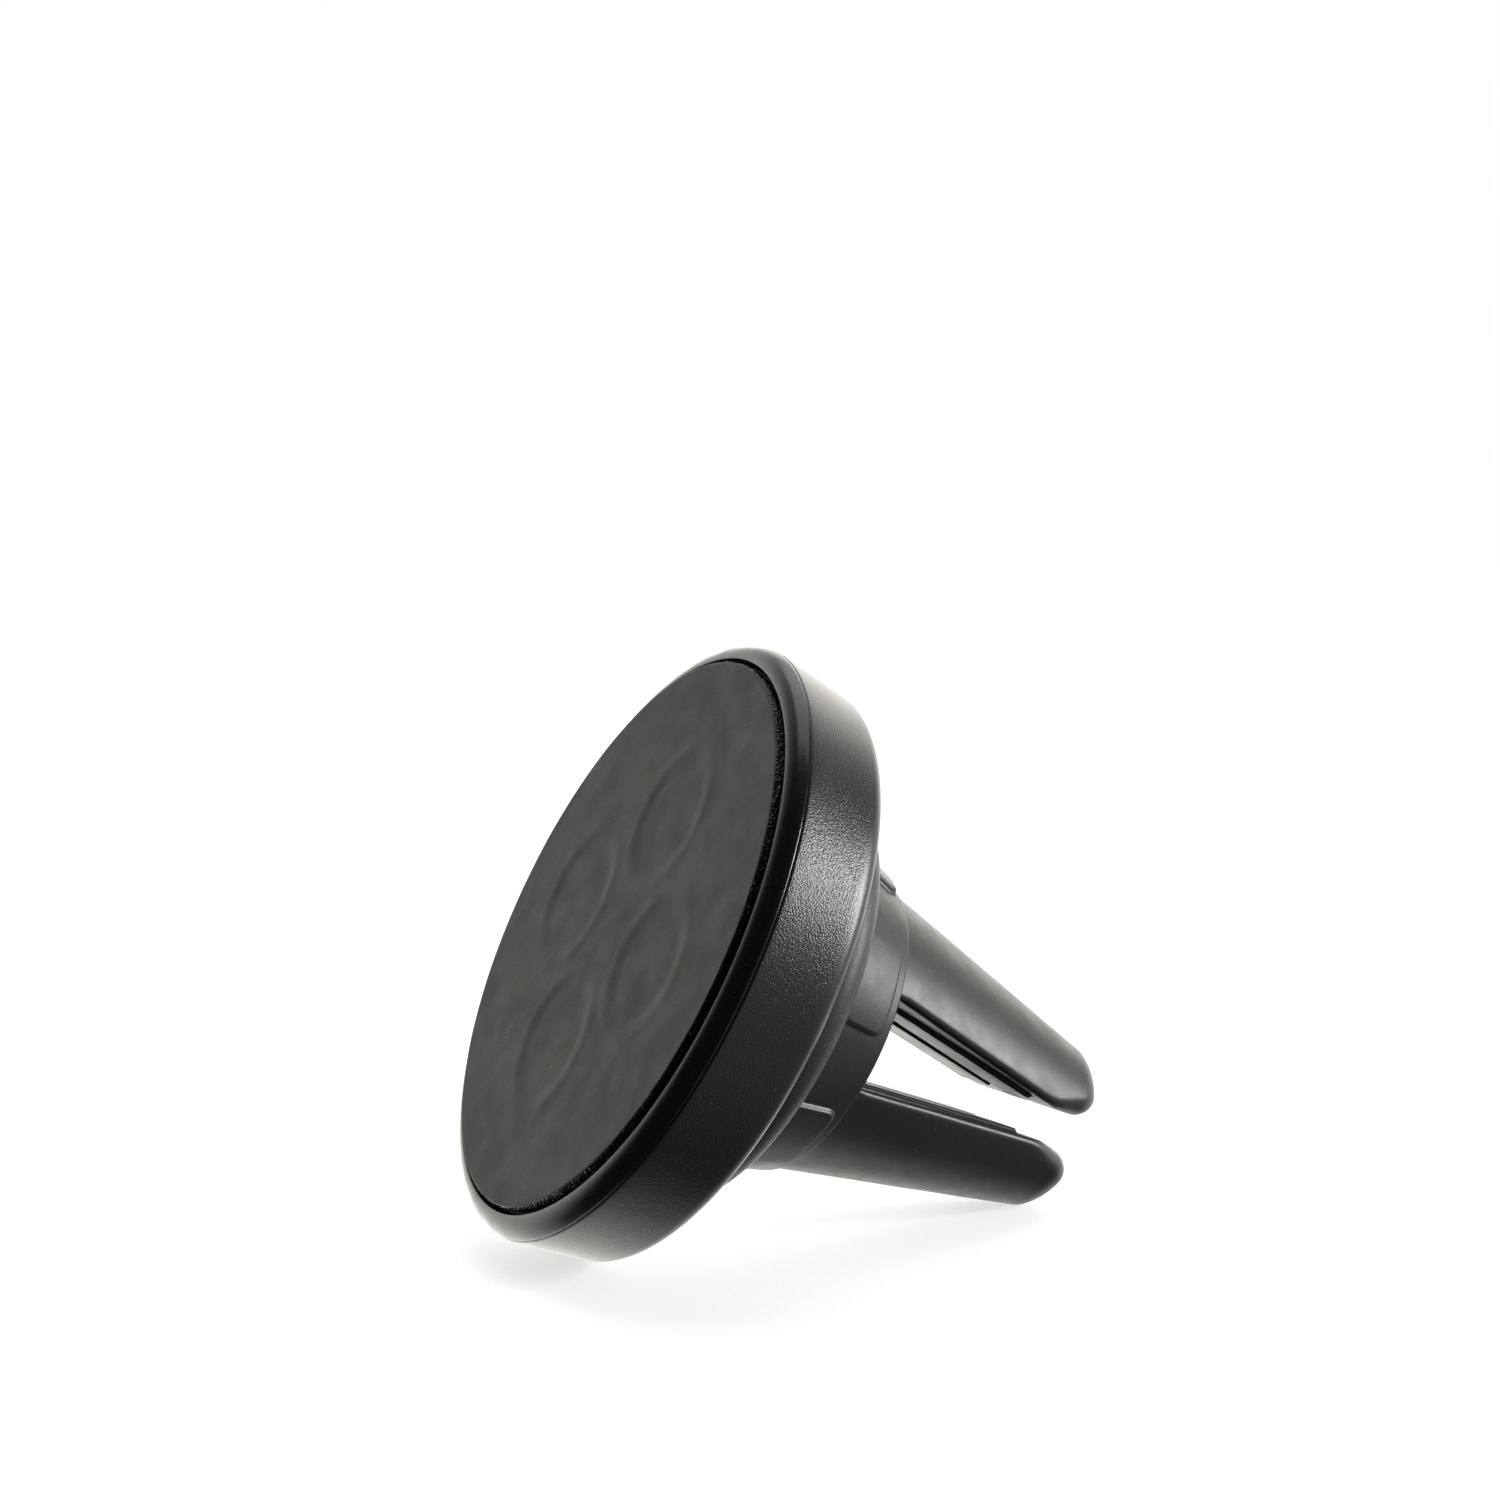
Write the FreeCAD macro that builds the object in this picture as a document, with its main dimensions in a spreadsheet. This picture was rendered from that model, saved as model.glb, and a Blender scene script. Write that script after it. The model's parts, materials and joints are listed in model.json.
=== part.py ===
import FreeCAD, Part
import math
import os

import Sketcher

# A round magnetic phone mount that clips on a car's air vent blade.
#
# Every piece is drawn about one design axis, in one design frame:
#   +Z  out of the phone face, z = 0 on the swivel plane between head and clip;
#   +Y  up, square to the wide blade slot;  +X  along the wide blade slot.
# The head is above the swivel plane and the clip below it. At the end the whole
# assembly is laid down as it rests on a table, on the head's rear edge and the
# tips of the two lower fingers, with the phone face looking along -Y and up.
# All lengths are millimetres and all angles are degrees.

SIZES = {
    # head, outside
    "head_diameter": 45.0,
    "shell_depth": 6.7,
    "shell_taper": 0.8,
    "shell_wall": 1.4,
    "shell_floor": 1.2,
    "shell_edge_radius": 1.3,
    "shell_opening_diameter": 17.0,
    "cover_diameter": 32.4,
    "cover_height": 4.3,
    "cover_edge_radius": 2.0,
    "cover_wall": 1.2,
    "cover_floor": 1.6,
    # front ring and face pad
    "bevel_width": 1.45,
    "bezel_depth": 1.1,
    "bevel_radius": 1.6,
    "lip_width": 0.1,
    "pad_gap": 0.3,
    "pad_proud": 0.4,
    "pad_thickness": 1.0,
    "pad_edge_radius": 0.15,
    "adhesive_thickness": 0.2,
    "ledge_width": 3.0,
    "ledge_thickness": 0.8,
    "skirt_length": 1.8,
    "skirt_wall": 1.0,
    # magnets, their carrier and the steel behind them
    "magnet_diameter": 10.0,
    "magnet_thickness": 2.0,
    "magnet_chamfer": 0.2,
    "magnet_pitch_diameter": 17.6,
    "magnet_clocking": 79.0,
    "yoke_margin": 0.9,
    "yoke_thickness": 1.0,
    "yoke_sink": 0.2,
    "support_ring_margin": 1.6,
    "support_ring_wall": 1.2,
    # screws that hold the back cover to the shell
    "cover_screw_pitch_diameter": 24.6,
    "cover_screw_diameter": 2.0,
    "cover_screw_head_diameter": 3.8,
    "cover_screw_head_height": 1.0,
    "cover_screw_length": 2.9,
    "screw_boss_wall": 1.15,
    "screw_hole_spare_depth": 0.2,
    # swivel between head and clip
    "stub_diameter": 9.0,
    "running_clearance": 0.05,
    "swivel_gap": 0.15,
    "friction_ring_width": 2.2,
    "friction_ring_thickness": 0.5,
    "washer_diameter": 14.0,
    "washer_thickness": 0.8,
    "pivot_screw_diameter": 3.0,
    "pivot_screw_head_diameter": 5.6,
    "pivot_screw_head_height": 1.8,
    "pivot_screw_grip": 5.1,
    "screw_slot_length": 3.4,
    "screw_slot_width": 0.8,
    "screw_slot_depth": 0.8,
    # collar
    "collar_front_diameter": 25.5,
    "collar_rear_diameter": 22.4,
    "collar_length": 5.1,
    "collar_wall": 1.5,
    "collar_web": 1.0,
    "grip_angle": 30.6,
    "grip_clocking": 16.5,
    "grip_rise": 0.4,
    "grip_root": 0.5,
    "grip_front_margin": 0.25,
    "grip_rear_margin": 0.85,
    # fingers
    "finger_step": 0.3,
    "finger_length": 21.1,
    "finger_tip_diameter": 12.4,
    "finger_face_rounding": 2.2,
    "finger_slot_rounding": 1.6,
    "finger_tip_radius": 2.2,
    "finger_root_gap": 0.4,
    "wide_slot_root": 6.0,
    "wide_slot_neck": 2.0,
    "narrow_slot_root": 2.0,
    "narrow_slot_tip": 1.2,
    "lead_in_gap": 2.5,
    "lead_in_length": 4.9,
    "blade_grip_width": 4.7,
    "blade_grip_rise": 0.3,
    "finger_skin": 1.2,
    "spine_length": 14.0,
    # between pieces that don't move on each other
    "fit_clearance": 0.1,
}
MAGNET_COUNT = 4
GRIP_COUNT = 6
COVER_SCREW_COUNT = 3
CROSS_SLOT_ARMS = 4
# How far round a finger's nose its sections stand, in degrees.
NOSE_ANGLES = (0, 16, 32, 47, 62)
# Points and radii that differ by less than this are the same.
SAME = 0.001
# The side of the narrow slot (x) and of the wide slot (y) that each finger is on.
FINGER_SIDES = {1: (1, 1), 2: (-1, 1), 3: (-1, -1), 4: (1, -1)}


class Dim:
    """A length: the spreadsheet expression that drives it, and its present value."""

    def __init__(self, text, value):
        self.text = text
        self.value = float(value)

    def __add__(self, other):
        other = as_dim(other)
        return Dim(f"({self.text} + {other.text})", self.value + other.value)

    def __sub__(self, other):
        other = as_dim(other)
        return Dim(f"({self.text} - {other.text})", self.value - other.value)

    def __mul__(self, other):
        other = as_dim(other)
        return Dim(f"{self.text} * {other.text}", self.value * other.value)

    def __truediv__(self, other):
        other = as_dim(other)
        return Dim(f"{self.text} / {other.text}", self.value / other.value)

    def __neg__(self):
        return Dim(f"(0 - {self.text})", -self.value)


def as_dim(number):
    if isinstance(number, Dim):
        return number
    return Dim(f"({number})", number)


def leg(hypotenuse, other_leg):
    """The second leg of a right triangle."""
    text = f"sqrt({hypotenuse.text}^2 - {other_leg.text}^2)"
    return Dim(text, math.sqrt(hypotenuse.value**2 - other_leg.value**2))


def between(start, end, share):
    """The value that lies a share of the way from start to end."""
    return start + (end - start) * share


def fill_sheet(doc):
    """Write the driving sizes in a spreadsheet and return them by name."""
    sheet = doc.addObject("Spreadsheet::Sheet", "sizes")
    for row, (alias, number) in enumerate(SIZES.items(), start=1):
        sheet.set(f"A{row}", alias)
        sheet.set(f"B{row}", str(number))
        sheet.setAlias(f"B{row}", alias)
    doc.recompute()
    return {alias: Dim(f"sizes.{alias}", number) for alias, number in SIZES.items()}


doc = FreeCAD.newDocument("phone_mount")
size = fill_sheet(doc)
ZERO = as_dim(0)

# ---------------------------------------------------------------- radii and heights

head_r = size["head_diameter"] / 2
lip_r = head_r - size["bevel_width"]
recess_r = lip_r - size["lip_width"]
pad_r = recess_r - size["pad_gap"]
shell_rear_r = head_r - size["shell_taper"]
shell_inner_r = shell_rear_r - size["shell_wall"]
skirt_r = shell_inner_r - size["fit_clearance"]
skirt_inner_r = skirt_r - size["skirt_wall"]
ledge_r = recess_r - size["ledge_width"]
magnet_r = size["magnet_diameter"] / 2
magnet_pitch_r = size["magnet_pitch_diameter"] / 2
yoke_r = magnet_pitch_r + magnet_r + size["yoke_margin"]
yoke_seat_r = yoke_r + size["fit_clearance"]
cover_r = size["cover_diameter"] / 2
cover_screw_pitch_r = size["cover_screw_pitch_diameter"] / 2
stub_r = size["stub_diameter"] / 2
collar_front_r = size["collar_front_diameter"] / 2
collar_rear_r = size["collar_rear_diameter"] / 2
core_front_r = collar_front_r - size["collar_wall"]
core_rear_r = collar_rear_r - size["collar_wall"]
finger_root_r = collar_rear_r - size["finger_step"]
finger_tip_r = size["finger_tip_diameter"] / 2

shell_back = size["cover_height"]
shell_floor_top = shell_back + size["shell_floor"]
parting = shell_back + size["shell_depth"]
lip_top = parting + size["bezel_depth"]
pad_front = lip_top + size["pad_proud"]
pad_back = pad_front - size["pad_thickness"]
seat = pad_back - size["adhesive_thickness"]
ledge_back = seat - size["ledge_thickness"]
yoke_front = seat - size["magnet_thickness"]
yoke_back = yoke_front - size["yoke_thickness"]
carrier_back = yoke_back - size["yoke_sink"]
stub_top = size["cover_floor"] + size["friction_ring_thickness"]
washer_top = stub_top + size["washer_thickness"]
collar_front = -size["swivel_gap"]
collar_rear = -size["collar_length"]
core_rear = collar_rear + size["collar_web"]
finger_root = collar_rear - size["finger_root_gap"]
finger_tip = finger_root - size["finger_length"]


# ---------------------------------------------------------------- drawing helpers


def new_body(label):
    body = doc.addObject("PartDesign::Body", label)
    body.Label = label
    return body


def new_sketch(body, name, role="XY_Plane", height=ZERO):
    """A sketch on one of the body's own origin planes, moved out to a height."""
    sketch = body.newObject("Sketcher::SketchObject", f"{body.Label}_{name}")
    plane = next(item for item in body.Origin.OriginFeatures if item.Role == role)
    sketch.AttachmentSupport = [(plane, "")]
    sketch.MapMode = "FlatFace"
    sketch.setExpression("AttachmentOffset.Base.z", height.text)
    return sketch


def bind(sketch, constraint, length):
    index = sketch.addConstraint(constraint)
    sketch.setExpression(f"Constraints[{index}]", length.text)


def locate(sketch, shape, end, x=None, y=None):
    """Hold one point of a shape at its distances from the sketch's origin."""
    for kind, length, axis in (("DistanceX", x, -2), ("DistanceY", y, -1)):
        if length is None:
            continue
        if length is ZERO:
            sketch.addConstraint(Sketcher.Constraint("PointOnObject", shape, end, axis))
        elif length.value > 0:
            bind(sketch, Sketcher.Constraint(kind, -1, 1, shape, end, length.value), length)
        else:
            back = -length
            bind(sketch, Sketcher.Constraint(kind, shape, end, -1, 1, back.value), back)


def point(x, y):
    return FreeCAD.Vector(x.value, y.value, 0)


def bulging_arc(start, end, radius):
    """The short arc from start to end that bulges to the left of the way it goes."""
    chord = end - start
    middle = (start + end) * 0.5
    left = FreeCAD.Vector(-chord.y, chord.x, 0).normalize()
    rise = radius - math.sqrt(radius**2 - (chord.Length / 2) ** 2)
    return Part.Arc(start, middle + left * rise, end)


def outline(sketch, corners, arcs=None):
    """A closed outline through the corners. arcs: {index of the side: its radius}."""
    arcs = arcs or {}
    count = len(corners)
    starts = {}
    ends = {}
    for side, corner in enumerate(corners):
        start = point(*corner)
        end = point(*corners[(side + 1) % count])
        if side in arcs:
            shape = bulging_arc(start, end, arcs[side].value)
            starts[side], ends[side] = 2, 1
        else:
            shape = Part.LineSegment(start, end)
            starts[side], ends[side] = 1, 2
        sketch.addGeometry(shape, False)
    for side, corner in enumerate(corners):
        last = (side - 1) % count
        sketch.addConstraint(
            Sketcher.Constraint("Coincident", last, ends[last], side, starts[side])
        )
        locate(sketch, side, starts[side], *corner)
    for side, radius in arcs.items():
        bind(sketch, Sketcher.Constraint("Radius", side, radius.value), radius)


def circle(sketch, radius, x=ZERO, y=ZERO):
    index = sketch.addGeometry(Part.Circle(point(x, y), FreeCAD.Vector(0, 0, 1), radius.value))
    locate(sketch, index, 3, x, y)
    bind(sketch, Sketcher.Constraint("Radius", index, radius.value), radius)


def finish_feature(body, feature):
    body.Tip = feature
    doc.recompute()
    return feature


def revolve(body, name, corners, arcs=None, angle=None):
    """Turn an outline of (radius, height) corners about the design axis."""
    sketch = new_sketch(body, f"{name}_outline", "XZ_Plane")
    outline(sketch, corners, arcs)
    feature = body.newObject("PartDesign::Revolution", f"{body.Label}_{name}")
    feature.Profile = sketch
    feature.ReferenceAxis = (sketch, ["V_Axis"])
    if angle is None:
        feature.Angle = 360
    else:
        feature.Midplane = True
        feature.setExpression("Angle", angle.text)
    return finish_feature(body, feature)


def pad(body, name, sketch, length):
    feature = body.newObject("PartDesign::Pad", f"{body.Label}_{name}")
    feature.Profile = sketch
    feature.setExpression("Length", length.text)
    return finish_feature(body, feature)


def pocket(body, name, sketch, length):
    """Cut down from the sketch, and make sure that something was cut."""
    before = body.Shape.Volume
    feature = body.newObject("PartDesign::Pocket", f"{body.Label}_{name}")
    feature.Profile = sketch
    feature.setExpression("Length", length.text)
    finish_feature(body, feature)
    if body.Shape.Volume >= before:
        raise RuntimeError(f"{feature.Name} cuts nothing")
    return feature


def ring_of(body, name, features, count):
    """Repeat features evenly about the design axis."""
    pattern = body.newObject("PartDesign::PolarPattern", f"{body.Label}_{name}")
    pattern.Originals = features
    axis = next(item for item in body.Origin.OriginFeatures if item.Role == "Z_Axis")
    pattern.Axis = (axis, [""])
    pattern.Angle = 360
    pattern.Occurrences = count
    return finish_feature(body, pattern)


def edges_where(body, test):
    """The names of the body's edges that a test picks."""
    edges = body.Shape.Edges
    return [f"Edge{number}" for number, edge in enumerate(edges, start=1) if test(edge)]


def circle_at(radius, height):
    """A test for the full circle of one radius about the design axis, at one height."""

    def test(edge):
        if not isinstance(edge.Curve, Part.Circle):
            return False
        centre = edge.Curve.Center
        return (
            math.hypot(centre.x, centre.y) < SAME
            and abs(edge.Curve.Radius - radius.value) < SAME
            and abs(centre.z - height.value) < SAME
        )

    return test


def dress(body, kind, name, test, property_name, length):
    """Round or bevel the edges of the body that a test picks."""
    picked = (body.Tip, edges_where(body, test))
    feature = body.newObject(f"PartDesign::{kind}", f"{body.Label}_{name}")
    feature.Base = picked
    feature.setExpression(property_name, length.text)
    return finish_feature(body, feature)


def fillet(body, name, test, radius):
    return dress(body, "Fillet", name, test, "Radius", radius)


# ---------------------------------------------------------------- head


def make_face_pad():
    """The rubber disc that the phone's steel plate is pulled against."""
    body = new_body("face_pad")
    sketch = new_sketch(body, "disc", height=pad_back)
    circle(sketch, pad_r)
    pad(body, "disc_pad", sketch, size["pad_thickness"])
    fillet(body, "soft_edge", circle_at(pad_r, pad_front), size["pad_edge_radius"])
    return body


def make_pad_adhesive():
    body = new_body("pad_adhesive")
    sketch = new_sketch(body, "disc", height=seat)
    circle(sketch, pad_r)
    pad(body, "disc_pad", sketch, size["adhesive_thickness"])
    return body


def make_front_bezel():
    """The bevelled front ring: lip, ledge under the pad, and skirt inside the shell."""
    body = new_body("front_bezel")
    skirt_end = parting - size["skirt_length"]
    corners = [
        (lip_r, lip_top),
        (head_r, parting),
        (skirt_r, parting),
        (skirt_r, skirt_end),
        (skirt_inner_r, skirt_end),
        (skirt_inner_r, ledge_back),
        (ledge_r, ledge_back),
        (ledge_r, seat),
        (recess_r, seat),
        (recess_r, lip_top),
    ]
    revolve(body, "ring", corners, arcs={0: size["bevel_radius"]})
    return body


def make_magnet_carrier():
    """The stepped disc that holds the magnets and the steel plate behind them."""
    body = new_body("magnet_carrier")
    boss_r = ledge_r - size["fit_clearance"]
    flange_r = skirt_inner_r - size["fit_clearance"]
    corners = [
        (ZERO, seat),
        (boss_r, seat),
        (boss_r, ledge_back),
        (flange_r, ledge_back),
        (flange_r, carrier_back),
        (yoke_seat_r, carrier_back),
        (yoke_seat_r, yoke_front),
        (ZERO, yoke_front),
    ]
    revolve(body, "disc", corners)
    sketch = new_sketch(body, "magnet_seat", height=seat)
    circle(sketch, magnet_r + size["fit_clearance"], x=magnet_pitch_r)
    hole = pocket(body, "magnet_hole", sketch, size["magnet_thickness"])
    ring_of(body, "magnet_holes", [hole], MAGNET_COUNT)
    return body


def make_magnet(number):
    body = new_body(f"magnet_{number}")
    sketch = new_sketch(body, "disc", height=yoke_front)
    circle(sketch, magnet_r, x=magnet_pitch_r)
    pad(body, "disc_pad", sketch, size["magnet_thickness"])

    def is_round(edge):
        return isinstance(edge.Curve, Part.Circle)

    dress(body, "Chamfer", "rim", is_round, "Size", size["magnet_chamfer"])
    return body


def make_steel_yoke():
    """The steel plate that closes the magnets' field behind them."""
    body = new_body("steel_yoke")
    sketch = new_sketch(body, "disc", height=yoke_back)
    circle(sketch, yoke_r)
    pad(body, "disc_pad", sketch, size["yoke_thickness"])
    return body


def make_rear_shell():
    """The textured cup: side wall, floor with a central opening, and support ring."""
    body = new_body("rear_shell")
    opening_r = size["shell_opening_diameter"] / 2
    ring_r = yoke_seat_r + size["support_ring_margin"]
    ring_outer_r = ring_r + size["support_ring_wall"]
    corners = [
        (head_r, parting),
        (shell_inner_r, parting),
        (shell_inner_r, shell_floor_top),
        (ring_outer_r, shell_floor_top),
        (ring_outer_r, carrier_back),
        (ring_r, carrier_back),
        (ring_r, shell_floor_top),
        (opening_r, shell_floor_top),
        (opening_r, shell_back),
        (shell_rear_r, shell_back),
    ]
    revolve(body, "cup", corners)
    fillet(body, "rear_edge", circle_at(shell_rear_r, shell_back), size["shell_edge_radius"])
    sketch = new_sketch(body, "screw_place", height=shell_floor_top)
    hole_r = size["cover_screw_diameter"] / 2 + size["fit_clearance"]
    circle(sketch, hole_r, x=cover_screw_pitch_r)
    hole = pocket(body, "screw_hole", sketch, size["shell_floor"])
    ring_of(body, "screw_holes", [hole], COVER_SCREW_COUNT)
    return body


def make_back_cover():
    """The rounded cover behind the shell, with the swivel bore and three screw bosses."""
    body = new_body("back_cover")
    bore_r = stub_r + size["running_clearance"]
    inner_r = cover_r - size["cover_wall"]
    corners = [
        (cover_r, shell_back),
        (inner_r, shell_back),
        (inner_r, size["cover_floor"]),
        (bore_r, size["cover_floor"]),
        (bore_r, ZERO),
        (cover_r, ZERO),
    ]
    revolve(body, "dish", corners)
    fillet(body, "outer_edge", circle_at(cover_r, ZERO), size["cover_edge_radius"])
    inner_radius = size["cover_edge_radius"] - size["cover_wall"]
    fillet(body, "inner_edge", circle_at(inner_r, size["cover_floor"]), inner_radius)
    pilot_r = size["cover_screw_diameter"] / 2 + size["running_clearance"]
    boss_sketch = new_sketch(body, "boss_place", height=size["cover_floor"])
    circle(boss_sketch, pilot_r + size["screw_boss_wall"], x=cover_screw_pitch_r)
    boss = pad(body, "boss", boss_sketch, shell_back - size["cover_floor"])
    bosses = ring_of(body, "bosses", [boss], COVER_SCREW_COUNT)
    pilot_sketch = new_sketch(body, "pilot_place", height=shell_back)
    circle(pilot_sketch, pilot_r, x=cover_screw_pitch_r)
    pilot_depth = size["cover_screw_length"] - size["shell_floor"] + size["screw_hole_spare_depth"]
    pilot = pocket(body, "pilot", pilot_sketch, pilot_depth)
    ring_of(body, "pilots", [pilot], COVER_SCREW_COUNT)
    return body


def make_shell_screws():
    """Three self-tapping screws, from inside the shell into the cover's bosses."""
    body = new_body("shell_screws")
    body.AllowCompound = True
    shank_r = size["cover_screw_diameter"] / 2
    tip = shell_floor_top - size["cover_screw_length"]
    shank_sketch = new_sketch(body, "shank_circle", height=tip)
    circle(shank_sketch, shank_r, x=cover_screw_pitch_r)
    shank = pad(body, "shank", shank_sketch, size["cover_screw_length"])
    head_sketch = new_sketch(body, "head_circle", height=shell_floor_top)
    circle(head_sketch, size["cover_screw_head_diameter"] / 2, x=cover_screw_pitch_r)
    head = pad(body, "head", head_sketch, size["cover_screw_head_height"])
    ring_of(body, "screws", [shank, head], COVER_SCREW_COUNT)
    return body


# ---------------------------------------------------------------- swivel


def make_clip_core():
    """The rigid hub of the clip, with the stub that the head turns on."""
    body = new_body("clip_core")
    hole_r = size["pivot_screw_diameter"] / 2 + size["running_clearance"]
    hole_end = washer_top - size["washer_thickness"] - size["pivot_screw_grip"]
    corners = [
        (hole_r, stub_top),
        (hole_r, hole_end),
        (ZERO, hole_end),
        (ZERO, core_rear),
        (core_rear_r, core_rear),
        (core_front_r, ZERO),
        (stub_r, ZERO),
        (stub_r, stub_top),
    ]
    revolve(body, "hub", corners)
    return body


def ring_body(label, inner_r, outer_r, bottom, thickness):
    body = new_body(label)
    sketch = new_sketch(body, "ring", height=bottom)
    circle(sketch, outer_r)
    circle(sketch, inner_r)
    pad(body, "ring_pad", sketch, thickness)
    return body


def make_friction_ring():
    """The soft ring, squeezed on the cover's floor, that makes the swivel hold."""
    inner_r = stub_r + size["fit_clearance"]
    outer_r = inner_r + size["friction_ring_width"]
    bottom = size["cover_floor"]
    return ring_body(
        "friction_ring", inner_r, outer_r, bottom, size["friction_ring_thickness"]
    )


def make_retaining_washer():
    inner_r = size["pivot_screw_diameter"] / 2 + size["fit_clearance"]
    outer_r = size["washer_diameter"] / 2
    return ring_body("retaining_washer", inner_r, outer_r, stub_top, size["washer_thickness"])


def make_pivot_screw():
    """The pan-head screw that holds the washer on the clip's stub."""
    body = new_body("pivot_screw")
    shank_r = size["pivot_screw_diameter"] / 2
    screw_head_r = size["pivot_screw_head_diameter"] / 2
    head_top = washer_top + size["pivot_screw_head_height"]
    tip = stub_top - size["pivot_screw_grip"] + size["screw_hole_spare_depth"]
    corners = [
        (ZERO, head_top),
        (screw_head_r, head_top),
        (screw_head_r, washer_top),
        (shank_r, washer_top),
        (shank_r, tip),
        (ZERO, tip),
    ]
    revolve(body, "screw", corners)
    reach = size["screw_slot_length"] / 2
    half_width = size["screw_slot_width"] / 2
    sketch = new_sketch(body, "slot_outline", height=head_top)
    corners = [
        (reach, half_width),
        (ZERO, half_width),
        (ZERO, -half_width),
        (reach, -half_width),
    ]
    outline(sketch, corners)
    slot = pocket(body, "slot", sketch, size["screw_slot_depth"])
    ring_of(body, "cross", [slot], CROSS_SLOT_ARMS)
    return body


# ---------------------------------------------------------------- collar


def cone_r(height, front_r, front, rear_r, rear):
    """The radius of a cone between two heights."""
    return between(front_r, rear_r, (height - front) / (rear - front))


def make_collar_sleeve():
    """The rubber collar: a conical cup on the core, with five raised grip pads."""
    body = new_body("collar_sleeve")
    core_r = cone_r(collar_front, core_front_r, ZERO, core_rear_r, core_rear)
    corners = [
        (collar_front_r, collar_front),
        (core_r, collar_front),
        (core_rear_r, core_rear),
        (ZERO, core_rear),
        (ZERO, collar_rear),
        (collar_rear_r, collar_rear),
    ]
    revolve(body, "cup", corners)
    grip_front = collar_front - size["grip_front_margin"]
    grip_rear = collar_rear + size["grip_rear_margin"]
    front_r = cone_r(grip_front, collar_front_r, collar_front, collar_rear_r, collar_rear)
    rear_r = cone_r(grip_rear, collar_front_r, collar_front, collar_rear_r, collar_rear)
    corners = [
        (front_r + size["grip_rise"], grip_front),
        (front_r - size["grip_root"], grip_front),
        (rear_r - size["grip_root"], grip_rear),
        (rear_r + size["grip_rise"], grip_rear),
    ]
    grip = revolve(body, "grip", corners, angle=size["grip_angle"])
    ring_of(body, "grips", [grip], GRIP_COUNT)
    return body


# ---------------------------------------------------------------- fingers


def edge_round(radius, edge, rounding):
    """Where a rounding meets a straight side and the outer arc: (along, x, y) lengths.

    The side lies at a distance, edge, from the finger's own axis plane. The rounding's
    centre is the point that is its radius inside both the side and the outer arc.
    """
    centre_across = edge + rounding
    centre_along = leg(radius - rounding, centre_across)
    outward = radius / (radius - rounding)
    return centre_along, centre_along * outward, centre_across * outward


def quadrant_section(sketch, radius, x_edge, y_edge, sides, roundings):
    """A quarter disc, set back from the slots' middles, with its outer corners rounded."""
    x_side, y_side = sides
    x_rounding, y_rounding = roundings
    face_end, face_arc_x, face_arc_y = edge_round(radius, y_edge, y_rounding)
    slot_end, slot_arc_y, slot_arc_x = edge_round(radius, x_edge, x_rounding)
    corners = [
        (x_edge, y_edge),
        (x_edge, slot_end),
        (slot_arc_x, slot_arc_y),
        (face_arc_x, face_arc_y),
        (face_end, y_edge),
    ]
    corners = [(x * x_side, y * y_side) for x, y in corners]
    arcs = {1: x_rounding, 2: radius, 3: y_rounding}
    if x_side * y_side < 0:
        # On a mirrored quadrant the outline runs the other way round.
        corners = corners[::-1]
        arcs = {2: x_rounding, 1: radius, 0: y_rounding}
    outline(sketch, corners, arcs)


neck_share = as_dim(1) - size["lead_in_length"] / size["finger_length"]
root_face_y = size["wide_slot_root"] / 2 + size["blade_grip_rise"]
neck_face_y = size["wide_slot_neck"] / 2 + size["blade_grip_rise"]
lead_in_y = size["lead_in_gap"] / 2
# The blade faces close in on each other as far as this share, and then stay parallel.
lead_in_share = neck_share * (root_face_y - lead_in_y) / (root_face_y - neck_face_y)


def blade_face_y(share):
    """Half the gap between opposite blade faces, up to where they turn parallel."""
    return between(root_face_y, neck_face_y, share / neck_share)


def slot_face_x(share):
    """Half the gap of the narrow slot, a share of the way down a finger."""
    return between(size["narrow_slot_root"] / 2, size["narrow_slot_tip"] / 2, share)


def section(body, name, share, face_y, skin, sides):
    """A finger's section a share of the way down it, set in by a skin."""
    height = finger_root - size["finger_length"] * share
    sketch = new_sketch(body, name, height=height)
    radius = between(finger_root_r, finger_tip_r, share) - skin
    roundings = (size["finger_slot_rounding"] - skin, size["finger_face_rounding"] - skin)
    quadrant_section(sketch, radius, slot_face_x(share) + skin, face_y + skin, sides, roundings)
    return sketch


def loft(body, kind, name, sketches):
    feature = body.newObject(f"PartDesign::{kind}Loft", f"{body.Label}_{name}")
    feature.Profile = sketches[0]
    feature.Sections = sketches[1:]
    feature.Ruled = True
    return finish_feature(body, feature)


def spine(body, kind, sides):
    """The rigid blade inside a finger, as a solid or as the space for it."""
    share = size["spine_length"] / size["finger_length"]
    skin = size["finger_skin"]
    root = section(body, "spine_root", ZERO, blade_face_y(ZERO), skin, sides)
    end = section(body, "spine_end", share, blade_face_y(share), skin, sides)
    loft(body, kind, "spine", [root, end])


def make_finger_core(number, sides):
    body = new_body(f"finger_core_{number}")
    spine(body, "Additive", sides)
    return body


def nose_steps():
    """How far up from the tip, and how far set in, each section of a finger's nose is."""
    radius = size["finger_tip_radius"]
    last = math.sin(math.radians(NOSE_ANGLES[-1]))
    turns = [math.radians(degrees) for degrees in NOSE_ANGLES]
    return [(radius * (last - math.sin(turn)), radius * (1 - math.cos(turn))) for turn in turns]


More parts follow.
